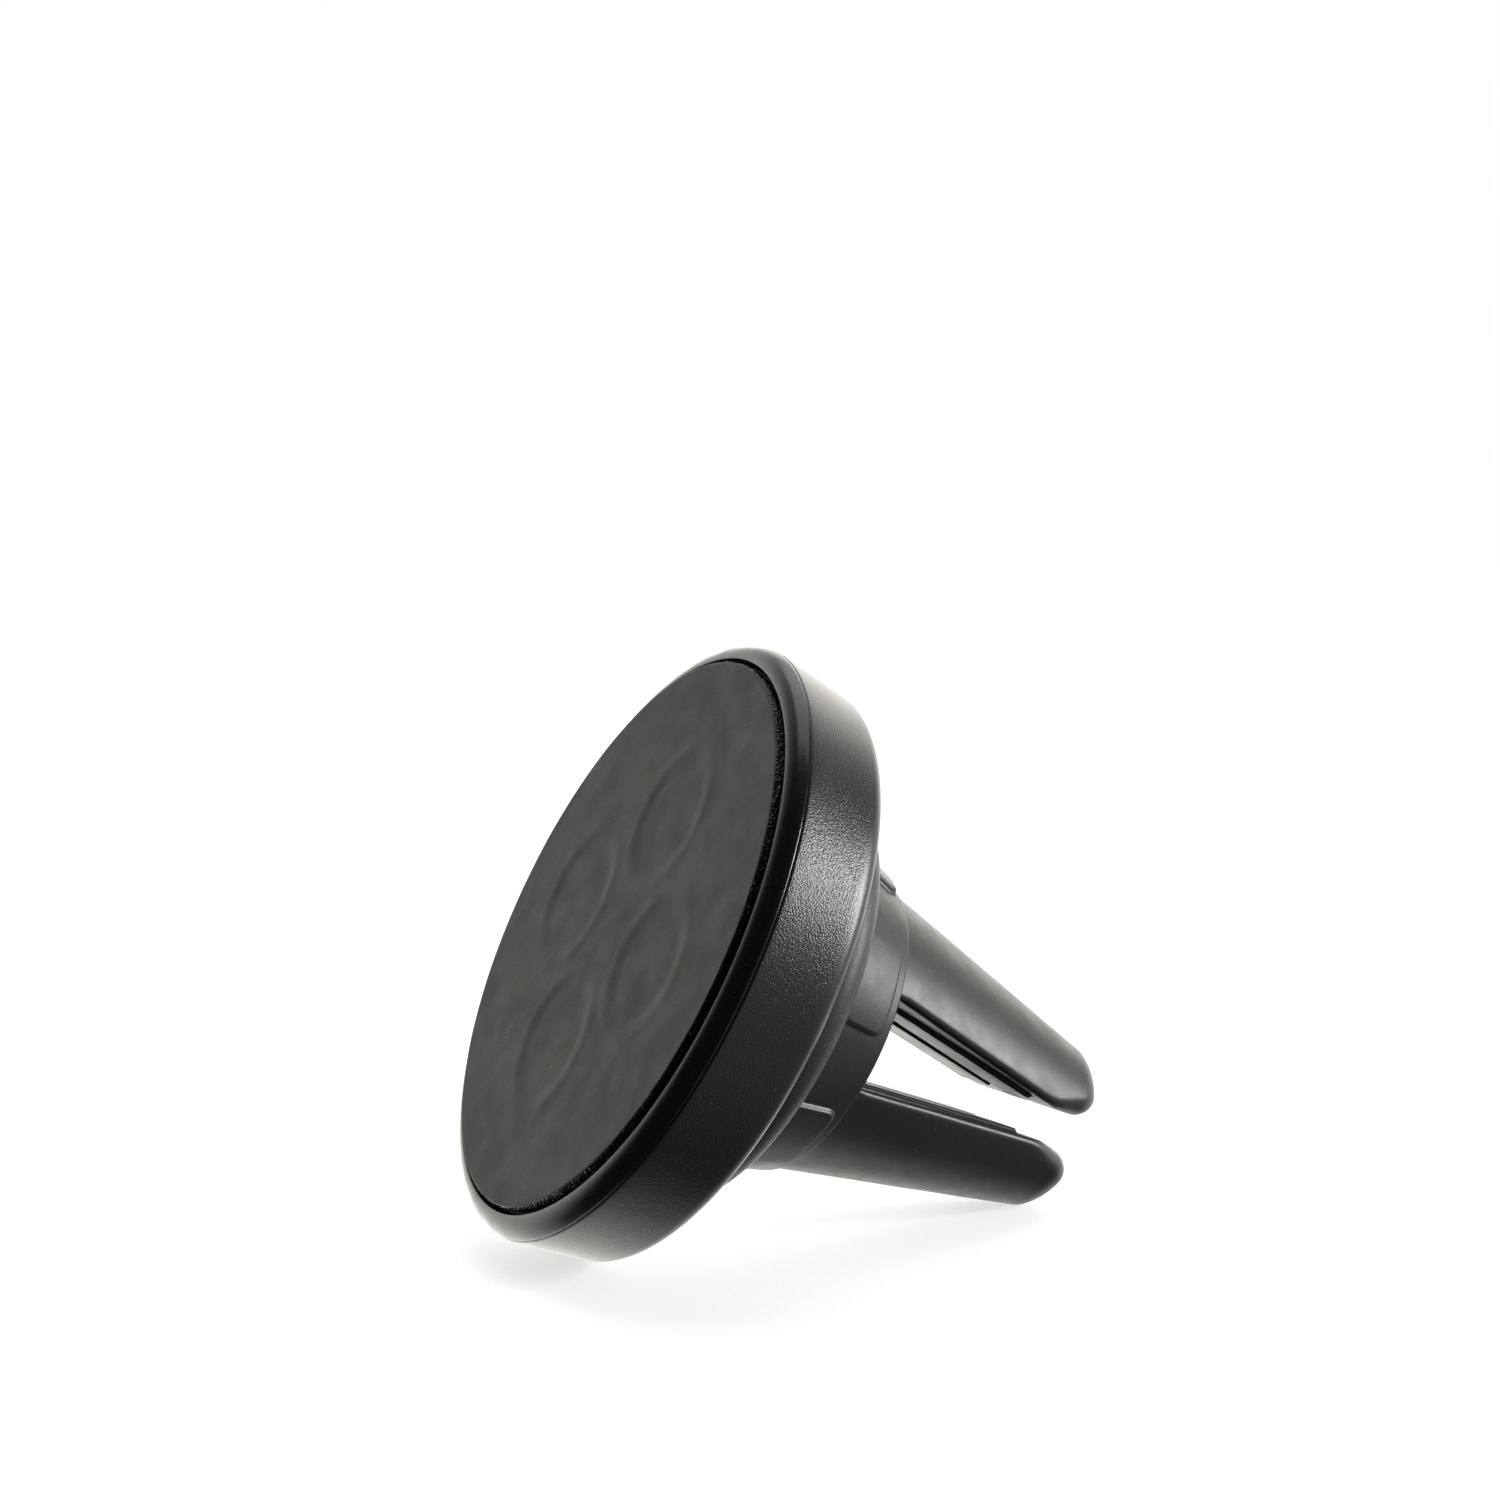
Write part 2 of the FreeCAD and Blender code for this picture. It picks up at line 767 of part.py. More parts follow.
def add_blade(body, sides):
    """The finger itself, with parallel blade faces near its tip and a rounded nose."""
    sections = [
        section(body, "blade_root", ZERO, root_face_y, ZERO, sides),
        section(body, "blade_neck", lead_in_share, lead_in_y, ZERO, sides),
    ]
    for number, (rise, inset) in enumerate(nose_steps(), start=1):
        share = as_dim(1) - rise / size["finger_length"]
        sections.append(section(body, f"nose_{number}", share, lead_in_y, inset, sides))
    loft(body, "Additive", "blade", sections)


def add_blade_grip(body, sides):
    """The raised strip beside the narrow slot that presses on the vent blade."""
    x_side, y_side = sides
    sketches = []
    for place, along in (("root", ZERO), ("neck", neck_share)):
        height = finger_root - size["finger_length"] * along
        sketch = new_sketch(body, f"grip_{place}", height=height)
        near_x = slot_face_x(along)
        far_x = near_x + size["blade_grip_width"]
        face_y = blade_face_y(along) - size["blade_grip_rise"]
        buried_y = blade_face_y(along) + size["blade_grip_rise"]
        corners = [
            (near_x * x_side, face_y * y_side),
            (far_x * x_side, face_y * y_side),
            (far_x * x_side, buried_y * y_side),
            (near_x * x_side, buried_y * y_side),
        ]
        outline(sketch, corners)
        sketches.append(sketch)
    loft(body, "Additive", "blade_grip", sketches)


def make_finger_sleeve(number, sides):
    """The rubber skin of a finger, with its raised grip strip and its rounded tip."""
    body = new_body(f"finger_sleeve_{number}")
    add_blade(body, sides)
    add_blade_grip(body, sides)
    spine(body, "Subtractive", sides)
    return body


# ---------------------------------------------------------------- assembly


def about_axis(degrees):
    return FreeCAD.Rotation(FreeCAD.Vector(0, 0, 1), degrees)


def corner_circle(edge_r, height, radius, slope):
    """Centre of the fillet between a flat at a height and a wall that slopes from it."""
    angle = math.atan(slope)
    inset = radius / math.cos(angle) - radius * math.tan(angle)
    return edge_r - inset, height + radius


def foot_reach(share, inset):
    """How far out from the wide slot's middle a finger's rounded slot-side edge reaches."""
    rounding = size["finger_slot_rounding"]
    radius = between(finger_root_r, finger_tip_r, share)
    return leg(radius - rounding, slot_face_x(share) + rounding) + rounding - inset


def resting_tilt():
    """How far the phone face looks up when the rim and two finger tips touch a table."""
    rim = size["shell_edge_radius"].value
    rim_slope = size["shell_taper"].value / size["shell_depth"].value
    rim_r, rim_z = corner_circle(shell_rear_r.value, shell_back.value, rim, rim_slope)
    tilts = []
    for rise, inset in nose_steps():
        share = as_dim(1) - rise / size["finger_length"]
        across = rim_r - foot_reach(share, inset).value
        along = rim_z - (finger_tip + rise).value
        tilts.append(math.atan2(across, along) + math.asin(rim / math.hypot(across, along)))
    return min(tilts)


def resting_placement(shapes):
    """Lay the assembly on z = 0, with the origin under the middle of its box."""
    lean = FreeCAD.Rotation(FreeCAD.Vector(1, 0, 0), 90 - math.degrees(resting_tilt()))
    laid = Part.makeCompound(shapes)
    laid.Placement = FreeCAD.Placement(FreeCAD.Vector(0, 0, 0), lean)
    box = laid.optimalBoundingBox(False, False)
    shift = FreeCAD.Vector(0, -(box.YMin + box.YMax) / 2, -box.ZMin)
    return FreeCAD.Placement(shift, lean)


magnet_clocking = size["magnet_clocking"].value
clocked = [
    (make_face_pad(), 0),
    (make_pad_adhesive(), 0),
    (make_front_bezel(), 0),
    (make_magnet_carrier(), magnet_clocking),
    (make_steel_yoke(), 0),
    (make_rear_shell(), 0),
    (make_back_cover(), 0),
    (make_shell_screws(), 0),
    (make_clip_core(), 0),
    (make_friction_ring(), 0),
    (make_retaining_washer(), 0),
    (make_pivot_screw(), 0),
    (make_collar_sleeve(), size["grip_clocking"].value),
]
for magnet in range(1, MAGNET_COUNT + 1):
    turn = magnet_clocking + (magnet - 1) * 360 / MAGNET_COUNT
    clocked.append((make_magnet(magnet), turn))
for finger, finger_sides in FINGER_SIDES.items():
    clocked.append((make_finger_core(finger, finger_sides), 0))
    clocked.append((make_finger_sleeve(finger, finger_sides), 0))

doc.recompute()
rest = resting_placement([body.Shape for body, turn in clocked])
for body, turn in clocked:
    spin = FreeCAD.Placement(FreeCAD.Vector(0, 0, 0), about_axis(turn))
    body.Placement = rest.multiply(spin)
doc.recompute()

for item in doc.Objects:
    if "Invalid" in item.State or "Error" in item.State:
        raise RuntimeError(f"{item.Name} did not build: {item.State}")
for body, turn in clocked:
    if body.Shape.isNull() or not body.Shape.isValid():
        raise RuntimeError(f"{body.Label} has no valid solid")

os.makedirs("parts", exist_ok=True)
for body, turn in clocked:
    body.Shape.exportStep(f"parts/{body.Label}.step")
    print(f"{body.Label}: {len(body.Shape.Solids)} solid(s), {body.Shape.Volume:.1f} mm3")
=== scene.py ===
import json
import math

import bmesh
import bpy
import numpy as np
from mathutils import Matrix, Vector

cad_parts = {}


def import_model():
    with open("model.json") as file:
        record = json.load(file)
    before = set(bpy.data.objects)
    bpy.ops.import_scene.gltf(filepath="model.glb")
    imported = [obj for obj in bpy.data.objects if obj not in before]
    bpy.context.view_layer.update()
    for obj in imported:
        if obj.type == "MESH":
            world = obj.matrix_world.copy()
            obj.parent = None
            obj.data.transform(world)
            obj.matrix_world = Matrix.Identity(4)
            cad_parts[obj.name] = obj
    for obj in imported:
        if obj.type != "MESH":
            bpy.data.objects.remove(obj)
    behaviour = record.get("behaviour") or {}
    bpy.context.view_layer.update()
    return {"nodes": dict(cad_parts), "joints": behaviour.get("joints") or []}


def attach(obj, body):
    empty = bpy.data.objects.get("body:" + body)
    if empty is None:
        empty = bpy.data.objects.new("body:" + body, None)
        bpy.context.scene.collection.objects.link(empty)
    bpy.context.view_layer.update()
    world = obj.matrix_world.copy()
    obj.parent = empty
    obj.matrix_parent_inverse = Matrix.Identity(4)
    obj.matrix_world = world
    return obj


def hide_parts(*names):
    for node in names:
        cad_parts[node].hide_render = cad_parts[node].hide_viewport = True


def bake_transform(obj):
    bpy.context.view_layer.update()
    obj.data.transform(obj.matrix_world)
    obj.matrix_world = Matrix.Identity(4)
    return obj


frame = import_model()

# ---------------------------------------------------------------- design frame
# Shapes are worked out in millimetres in the mount's own frame: z along the swivel
# axis out of the phone face, z = 0 on the swivel plane, y square to the wide slot.

swivel = next(j for j in frame["joints"] if j["name"] == "head_swivel")
ORIGIN = np.array(swivel["pos_m"], float)
AXIS_Z = np.array(swivel["axis"], float)
AXIS_X = np.array([1.0, 0.0, 0.0])
AXIS_Y = np.cross(AXIS_Z, AXIS_X)
TO_WORLD = np.array([AXIS_X, AXIS_Y, AXIS_Z])
MM = 0.001


def world(points):
    return ORIGIN + (np.asarray(points, float) * MM) @ TO_WORLD


def local_points(node):
    mesh = frame["nodes"][node].data
    co = np.empty(len(mesh.vertices) * 3)
    mesh.vertices.foreach_get("co", co)
    return (co.reshape(-1, 3) - ORIGIN) @ TO_WORLD.T / MM


def reach(node):
    """Lowest height, highest height and outer radius of a CAD node."""
    points = local_points(node)
    return points[:, 2].min(), points[:, 2].max(), np.hypot(points[:, 0], points[:, 1]).max()


PAD_BACK, PAD_FRONT, PAD_R = reach("face_pad")
BEZEL_BACK, LIP_TOP, HEAD_R = reach("front_bezel")
SHELL_BACK, PARTING, _ = reach("rear_shell")
COVER_REAR, COVER_TOP, COVER_R = reach("back_cover")
COLLAR_REAR, COLLAR_FRONT, _ = reach("collar_sleeve")
FINGER_TIP, FINGER_ROOT, _ = reach("finger_sleeve_1")

# ---------------------------------------------------------------- smooth noise


def value_noise(points, scale, seed):
    """Smooth noise from -1 to 1 at points in millimetres; scale is the grain's size."""
    p = np.asarray(points, float) / scale
    cell = np.floor(p).astype(np.int64)
    f = p - cell
    f = f * f * (3 - 2 * f)
    total = np.zeros(len(p))
    for corner in range(8):
        offset = np.array([corner & 1, corner >> 1 & 1, corner >> 2 & 1])
        c = cell + offset
        h = (c[:, 0] * 73856093) ^ (c[:, 1] * 19349663) ^ (c[:, 2] * 83492791)
        h = h ^ (seed * 2654435)
        h = (h ^ (h >> 13)) * 1274126177 & 0x7FFFFFFF
        h = (h ^ (h >> 16)) & 0xFFFF
        weight = np.prod(np.where(offset == 1, f, 1 - f), axis=1)
        total += weight * (h / 32767.5 - 1)
    return total


def smoothstep(low, high, value):
    t = np.clip((value - low) / (high - low), 0, 1)
    return t * t * (3 - 2 * t)


# ---------------------------------------------------------------- meshes


def add_mesh(name, points, faces, materials, face_materials=None):
    mesh = bpy.data.meshes.new(name)
    mesh.from_pydata(world(points).tolist(), [], faces)
    for material in materials:
        mesh.materials.append(material)
    if face_materials is not None:
        mesh.polygons.foreach_set("material_index", np.asarray(face_materials, np.int32))
    mesh.polygons.foreach_set("use_smooth", np.ones(len(mesh.polygons), bool))
    mesh.update()
    work = bmesh.new()
    work.from_mesh(mesh)
    bmesh.ops.recalc_face_normals(work, faces=work.faces)
    work.to_mesh(mesh)
    work.free()
    obj = bpy.data.objects.new(name, mesh)
    bpy.context.scene.collection.objects.link(obj)
    return obj


def grid_faces(rows, columns, wrap_rows=False):
    """Quads of a grid whose columns close on themselves."""
    faces = []
    for i in range(rows if wrap_rows else rows - 1):
        a, b = i * columns, (i + 1) % rows * columns
        for j in range(columns):
            k = (j + 1) % columns
            faces.append((a + j, a + k, b + k, b + j))
    return faces


def rounded_profile(corners, steps=6):
    """A closed profile; a corner is (r, z) or (r, z, radius) for a rounded one."""
    out = []
    count = len(corners)
    for i, corner in enumerate(corners):
        here = np.array(corner[:2], float)
        radius = corner[2] if len(corner) > 2 else 0
        if radius == 0:
            out.append(here)
            continue
        before = np.array(corners[i - 1][:2], float) - here
        after = np.array(corners[(i + 1) % count][:2], float) - here
        before /= np.linalg.norm(before)
        after /= np.linalg.norm(after)
        half = math.acos(np.clip(before @ after, -1, 1)) / 2
        setback = radius / math.tan(half)
        middle = (before + after) / np.linalg.norm(before + after)
        centre = here + middle * radius / math.sin(half)
        start, end = here + before * setback - centre, here + after * setback - centre
        sweep = math.pi - 2 * half
        for step in range(steps + 1):
            t = step / steps
            point = (start * math.sin((1 - t) * sweep) + end * math.sin(t * sweep)) / math.sin(sweep)
            out.append(centre + point)
    return out


def refine(profile, largest):
    """Split the long sides of a closed profile."""
    out = []
    for here, after in zip(profile, profile[1:] + profile[:1]):
        pieces = max(1, math.ceil(np.linalg.norm(after - here) / largest))
        out += [here + (after - here) * i / pieces for i in range(pieces)]
    return out


def lathe(profile, segments, change=None):
    """Points and faces of a ring from a closed profile. change(r, z, angle) gives new r, z."""
    profile = np.array(profile)
    angles = np.arange(segments) * 2 * math.pi / segments
    r = np.repeat(profile[:, 0:1], segments, axis=1)
    z = np.repeat(profile[:, 1:2], segments, axis=1)
    a = np.repeat(angles[None, :], len(profile), axis=0)
    if change is not None:
        r, z = change(r, z, a)
    points = np.stack([r * np.cos(a), r * np.sin(a), z], axis=-1).reshape(-1, 3)
    return points, grid_faces(len(profile), segments, wrap_rows=True)


# ---------------------------------------------------------------- materials


class Nodes:
    """A short way to write a procedural material."""

    def __init__(self, name):
        self.material = bpy.data.materials.new(name)
        self.material.use_nodes = True
        self.tree = self.material.node_tree
        self.shader = self.tree.nodes["Principled BSDF"]
        coordinates = self.tree.nodes.new("ShaderNodeTexCoord")
        self.place = coordinates.outputs["Object"]

    def node(self, kind, inputs=None, **settings):
        made = self.tree.nodes.new(kind)
        for key, value in settings.items():
            setattr(made, key, value)
        for key, value in (inputs or {}).items():
            if isinstance(value, bpy.types.NodeSocket):
                self.tree.links.new(value, made.inputs[key])
            else:
                made.inputs[key].default_value = value
        return made

    def noise(self, size_mm, detail=3.0, roughness=0.55):
        return self.node(
            "ShaderNodeTexNoise",
            {
                "Vector": self.place,
                "Scale": 1 / (size_mm * MM),
                "Detail": detail,
                "Roughness": roughness,
            },
        ).outputs["Fac"]

    def cells(self, size_mm, feature="F1", smooth=None):
        made = self.node(
            "ShaderNodeTexVoronoi", {"Vector": self.place, "Scale": 1 / (size_mm * MM)}, feature=feature
        )
        if smooth is not None:
            made.inputs["Smoothness"].default_value = smooth
        return made.outputs["Distance"]

    def math(self, operation, a, b):
        return self.node("ShaderNodeMath", {0: a, 1: b}, operation=operation).outputs[0]

    def fit(self, value, low, high, to_low=0.0, to_high=1.0):
        return self.node(
            "ShaderNodeMapRange",
            {"Value": value, "From Min": low, "From Max": high, "To Min": to_low, "To Max": to_high},
        ).outputs["Result"]

    def mix(self, share, a, b):
        made = self.node("ShaderNodeMix", data_type="RGBA")
        for key, value in (("Factor", share), ("A", a), ("B", b)):
            sockets = [s for s in made.inputs if s.name == key and s.enabled]
            socket = next(s for s in sockets if key == "Factor" or s.type == "RGBA")
            if isinstance(value, bpy.types.NodeSocket):
                self.tree.links.new(value, socket)
            else:
                socket.default_value = value
        return next(s for s in made.outputs if s.type == "RGBA")

    def height_mm(self):
        """Height along the swivel axis, in millimetres."""
        shifted = self.node(
            "ShaderNodeVectorMath", {0: self.place, 1: tuple(ORIGIN)}, operation="SUBTRACT"
        ).outputs[0]
        along = self.node(
            "ShaderNodeVectorMath", {0: shifted, 1: tuple(AXIS_Z)}, operation="DOT_PRODUCT"
        ).outputs["Value"]
        return self.math("DIVIDE", along, MM)

    def bump(self, height, distance_mm, strength=1.0, normal=None):
        inputs = {"Height": height, "Distance": distance_mm * MM, "Strength": strength}
        if normal is not None:
            inputs["Normal"] = normal
        return self.node("ShaderNodeBump", inputs).outputs["Normal"]

    def dust_and_glints(self, size_mm, share):
        """Scattered dots: 1 on a small share of the cells, 0 elsewhere. Dust on most materials; painted
        glints on the pad's cut edge.
        """
        made = self.node("ShaderNodeTexVoronoi", {"Vector": self.place, "Scale": 1 / (size_mm * MM)})
        near = self.math("LESS_THAN", made.outputs["Distance"], 0.2)
        split = self.node("ShaderNodeSeparateColor", {"Color": made.outputs["Color"]}).outputs[0]
        picked = self.math("LESS_THAN", split, share)
        return self.math("MULTIPLY", near, picked)

    def finish(self, color, roughness, normal=None, **constants):
        for key, value in (("Base Color", color), ("Roughness", roughness), ("Normal", normal)):
            if value is None:
                continue
            if isinstance(value, bpy.types.NodeSocket):
                self.tree.links.new(value, self.shader.inputs[key])
            else:
                self.shader.inputs[key].default_value = value
        for key, value in constants.items():
            self.shader.inputs[key.replace("_", " ")].default_value = value
        return self.material


def grey(value, warmth=0.08):
    return (value * (1 + warmth), value, value * (1 - warmth), 1.0)


def make_pad_rubber():
    n = Nodes("pad_rubber")
    mottle = n.noise(9.0, 4.0)
    base = n.mix(n.fit(mottle, 0.3, 0.7), grey(0.084), grey(0.098))
    color = n.mix(n.dust_and_glints(0.22, 0.010), base, grey(0.30, 0.0))
    fine = n.bump(n.noise(0.09, 2.0), 0.006)
    soft = n.bump(n.noise(3.5, 2.0), 0.03, normal=fine)
    roughness = n.fit(n.noise(2.5), 0.3, 0.7, 0.60, 0.70)
    return n.finish(color, roughness, soft, Specular_IOR_Level=0.5)


def make_cut_edge_painted_shade():
    n = Nodes("pad_cut_edge_painted_shade_glints")
    grit = n.cells(0.22)
    # Painted shade and painted glints: the cut edge is near-black for the shade in the gap beside it,
    # with light dots for glints.
    color = n.mix(n.dust_and_glints(0.28, 0.16), grey(0.006, 0.0), grey(0.55, 0.0))
    normal = n.bump(n.fit(grit, 0.0, 0.8), 0.14)
    return n.finish(color, n.fit(n.noise(0.15), 0.3, 0.7, 0.22, 0.6), normal)


def make_bezel_plastic():
    n = Nodes("bezel_plastic")
    color = n.mix(n.dust_and_glints(0.16, 0.03), grey(0.012), grey(0.16, 0.0))
    fine = n.bump(n.noise(0.12, 2.0), 0.004)
    roughness = n.fit(n.noise(1.6, 4.0), 0.3, 0.7, 0.17, 0.28)
    return n.finish(color, roughness, fine)


def make_shell_plastic():
    n = Nodes("shell_plastic")
    height = n.height_mm()
    low = n.fit(height, SHELL_BACK + 0.9, SHELL_BACK + 1.6)
    high = n.fit(height, PARTING - 0.05, PARTING - 0.2)
    mask = n.math("MULTIPLY", low, high)
    cells = n.fit(n.cells(0.15, "SMOOTH_F1", 0.35), 0.05, 0.6)
    worms = n.fit(n.noise(0.11, 1.5, 0.4), 0.35, 0.65)
    grain = n.math("ADD", n.math("MULTIPLY", cells, 0.6), n.math("MULTIPLY", worms, 0.4))
    grain = n.math("MULTIPLY", grain, mask)
    fine = n.bump(n.noise(0.08, 2.0), 0.004)
    normal = n.bump(grain, 0.017, normal=fine)
    base = n.mix(n.fit(n.noise(6.0), 0.3, 0.7), grey(0.017), grey(0.022))
    color = n.mix(n.dust_and_glints(0.2, 0.012), base, grey(0.2, 0.0))
    roughness = n.fit(grain, 0.0, 1.0, 0.34, 0.29)
    return n.finish(color, roughness, normal)


def make_cover_plastic():
    n = Nodes("cover_plastic")
    base = n.mix(n.fit(n.noise(5.0), 0.3, 0.7), grey(0.020), grey(0.028))
    color = n.mix(n.dust_and_glints(0.2, 0.012), base, grey(0.18, 0.0))
    normal = n.bump(n.noise(0.25, 3.0), 0.02)
    return n.finish(color, n.fit(n.noise(1.2, 3.0), 0.3, 0.7, 0.42, 0.52), normal)


def make_clip_rubber():
    n = Nodes("clip_rubber")
    base = n.mix(n.fit(n.noise(7.0, 4.0), 0.3, 0.7), grey(0.017), grey(0.024))
    color = n.mix(n.dust_and_glints(0.25, 0.008), base, grey(0.16, 0.0))
    fine = n.bump(n.noise(0.15, 3.0), 0.008)
    normal = n.bump(n.noise(2.2, 2.0), 0.02, normal=fine)
    return n.finish(color, n.fit(n.noise(1.5, 3.0), 0.3, 0.7, 0.38, 0.46), normal)


def hidden_finish(name, color, roughness, metallic=0.0, grain_mm=0.4):
    """A brushed or moulded finish for the pieces inside."""
    n = Nodes(name)
    darker = tuple(c * 0.8 for c in color)
    shade = n.mix(n.fit(n.noise(grain_mm * 4), 0.3, 0.7), (*darker, 1.0), (*color, 1.0))
    normal = n.bump(n.noise(grain_mm, 3.0), 0.01)
    rough = n.fit(n.noise(grain_mm * 2), 0.3, 0.7, roughness - 0.06, roughness + 0.06)
    return n.finish(shade, rough, normal, Metallic=metallic)


pad_rubber = make_pad_rubber()
cut_edge_painted_shade = make_cut_edge_painted_shade()
bezel_plastic = make_bezel_plastic()
shell_plastic = make_shell_plastic()
cover_plastic = make_cover_plastic()
clip_rubber = make_clip_rubber()

# ---------------------------------------------------------------- face pad

MAGNET_R, MAGNET_PITCH_R = 5.0, 8.8
MAGNET_ANGLES = [math.radians(79 + 90 * k) for k in range(4)]
# How far in and how far down from the pad's rim each row of its cut edge is.
CUT_ROWS = ((0.05, 0.05), (0.0, 0.15), (0.02, 0.30), (0.0, 0.45), (0.03, 0.6))
CUT_RIM_RAGGED, CUT_RAGGED = 0.03, 0.075
CUT_INSET = 0.08
IMPRINT_DEPTH, IMPRINT_RIDGE = 0.085, 0.025
PAD_SINK = 0.04


def imprint(x, y):
    """How far the magnets behind it have drawn the pad's face, in millimetres."""
    depth = np.zeros_like(x)
    for angle in MAGNET_ANGLES:
        r = np.hypot(x - MAGNET_PITCH_R * math.cos(angle), y - MAGNET_PITCH_R * math.sin(angle))
        depth += IMPRINT_DEPTH * (1 - smoothstep(MAGNET_R - 1.2, MAGNET_R + 0.2, r))
        depth -= IMPRINT_RIDGE * np.exp(-(((r - MAGNET_R - 0.4) / 0.55) ** 2))
    return depth


def make_face_pad():
    segments = 512
    edge = 0.15
    radii = [PAD_R - edge]
    while radii[-1] > 0.6:
        radii.append(radii[-1] - 0.2)
    radii = radii[::-1]
    angles = np.arange(segments) * 2 * math.pi / segments
    rows = []
    for r in radii:
        x, y = r * np.cos(angles), r * np.sin(angles)
        fade = smoothstep(PAD_R, PAD_R - 2, r)
        z = PAD_FRONT - PAD_SINK - imprint(x, y) * fade
        z = z + 0.012 * value_noise(np.stack([x, y, 0 * x], 1), 2.6, 3)
        rows.append(np.stack([x, y, z], 1))
    top = len(rows)
    for step, (shrink, drop) in enumerate(CUT_ROWS):
        angle_points = np.stack([np.cos(angles), np.sin(angles), 0 * angles], 1)
        depth = CUT_RIM_RAGGED if step == 0 else CUT_RAGGED
        ragged = value_noise(angle_points * PAD_R, 0.30, 10 + step) * depth
        r = PAD_R - shrink - CUT_INSET + ragged
        z = PAD_FRONT - PAD_SINK - drop + 0.5 * ragged
        rows.append(np.stack([r * np.cos(angles), r * np.sin(angles), z], 1))
    back_r = PAD_R - 0.05
    rows.append(np.stack([back_r * np.cos(angles), back_r * np.sin(angles), 0 * angles + PAD_BACK], 1))
    points = np.concatenate(rows)
    faces = grid_faces(len(rows), segments)
    kinds = [1 if i // segments >= top - 1 else 0 for i in range(len(faces))]
    faces.append(tuple(range(segments)))
    kinds.append(0)
    last = (len(rows) - 1) * segments
    faces.append(tuple(range(last + segments - 1, last - 1, -1)))
    kinds.append(1)
    pad = add_mesh("face_pad_skin", points, faces, [pad_rubber, cut_edge_painted_shade], kinds)
    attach(pad, "head")
    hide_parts("face_pad")


make_face_pad()

# ---------------------------------------------------------------- head

BEVEL_WIDTH, BEVEL_RADIUS, LIP_WIDTH = 1.45, 1.6, 0.10
SHELL_TAPER, SHELL_WALL, SHELL_FLOOR = 0.8, 1.4, 1.2
SHELL_EDGE_R = 1.3
SKIRT_DEPTH, SKIRT_WALL, FIT = 1.8, 1.0, 0.1
LEDGE_WIDTH, LEDGE_DEPTH = 3.0, 0.2
LIP_R = HEAD_R - BEVEL_WIDTH
RECESS_R = LIP_R - LIP_WIDTH
SHELL_REAR_R = HEAD_R - SHELL_TAPER
SHELL_INNER_R = SHELL_REAR_R - SHELL_WALL
SKIRT_R = SHELL_INNER_R - FIT
LEDGE_R = RECESS_R - LEDGE_WIDTH


def arc_profile(start, end, radius, steps):
    """Points of the arc between two (r, z) points that bulges outwards."""
    start, end = np.array(start, float), np.array(end, float)
    chord = end - start
    length = np.linalg.norm(chord)
    normal = np.array([-chord[1], chord[0]]) / length
    drop = math.sqrt(radius**2 - (length / 2) ** 2)
    centre = (start + end) / 2 - normal * drop
    a = math.atan2(*(start - centre)[::-1])
    b = math.atan2(*(end - centre)[::-1])
    turns = [a + (b - a) * i / steps for i in range(steps + 1)]
    return [centre + radius * np.array([math.cos(turn), math.sin(turn)]) for turn in turns]


def make_bezel():
    bevel = arc_profile((LIP_R, LIP_TOP), (HEAD_R - 0.04, PARTING + 0.05), BEVEL_RADIUS, 14)
    corners = [np.array(p) for p in bevel]
    skirt_inner_r = SKIRT_R - SKIRT_WALL
    corners += [np.array(p) for p in (
        (HEAD_R - 0.10, PARTING),
        (SKIRT_R, PARTING),
        (SKIRT_R, PARTING - SKIRT_DEPTH),
        (skirt_inner_r, PARTING - SKIRT_DEPTH),
        (skirt_inner_r, BEZEL_BACK + 1.2),
        (LEDGE_R, BEZEL_BACK + 1.2),
        (LEDGE_R, PAD_BACK - LEDGE_DEPTH),
        (RECESS_R, PAD_BACK - LEDGE_DEPTH),
        (RECESS_R, LIP_TOP - 0.06),
        (RECESS_R + 0.03, LIP_TOP - 0.01),
    )]

    def wobble(r, z, a):
        points = np.stack([r * np.cos(a), r * np.sin(a), z], -1).reshape(-1, 3)
        w = value_noise(points, 1.3, 31).reshape(r.shape) * 0.010
        return r + w * (z < PARTING + 0.2) * (r > SKIRT_R + 0.1), z

    points, faces = lathe(corners, 384, wobble)
    bezel = add_mesh("front_bezel_ring", points, faces, [bezel_plastic])
    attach(bezel, "head")
    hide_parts("front_bezel")


make_bezel()


def make_shell():
    rear_r, inner_r = SHELL_REAR_R, SHELL_INNER_R
    floor = SHELL_BACK + SHELL_FLOOR
    profile = rounded_profile([
        (HEAD_R, PARTING, 0.16), (inner_r, PARTING), (inner_r, floor), (8.5, floor, 0.2),
        (8.5, SHELL_BACK, 0.2), (rear_r, SHELL_BACK, SHELL_EDGE_R),
    ], steps=10)

    def flaw(r, z, a):
        points = np.stack([r * np.cos(a), r * np.sin(a), z], -1).reshape(-1, 3)
        w = value_noise(points, 4.0, 57).reshape(r.shape) * 0.012
        side = (r > inner_r + 0.5) & (z < PARTING - 0.05)
        return r - np.abs(w) * side, z

    points, faces = lathe(refine(profile, 0.6), 384, flaw)
    shell = add_mesh("rear_shell_cup", points, faces, [shell_plastic])
    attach(shell, "head")
    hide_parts("rear_shell")


make_shell()


def make_cover():
    wall, floor = 1.2, 1.6
    bore = 4.55
    # The cover turns on the clip's flat shoulder, so its face stands just clear of it.
    rear = COVER_REAR + 0.01
    profile = rounded_profile([
        (COVER_R, COVER_TOP), (COVER_R - wall, COVER_TOP), (COVER_R - wall, floor, 0.8), (bore, floor),
        (bore, rear, 0.15), (COVER_R, rear, 2.0),
    ], steps=14)
    points, faces = lathe(refine(profile, 0.5), 320)
    cover = add_mesh("back_cover_dish", points, faces, [cover_plastic])
    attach(cover, "head")
    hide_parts("back_cover")


make_cover()

# ---------------------------------------------------------------- collar

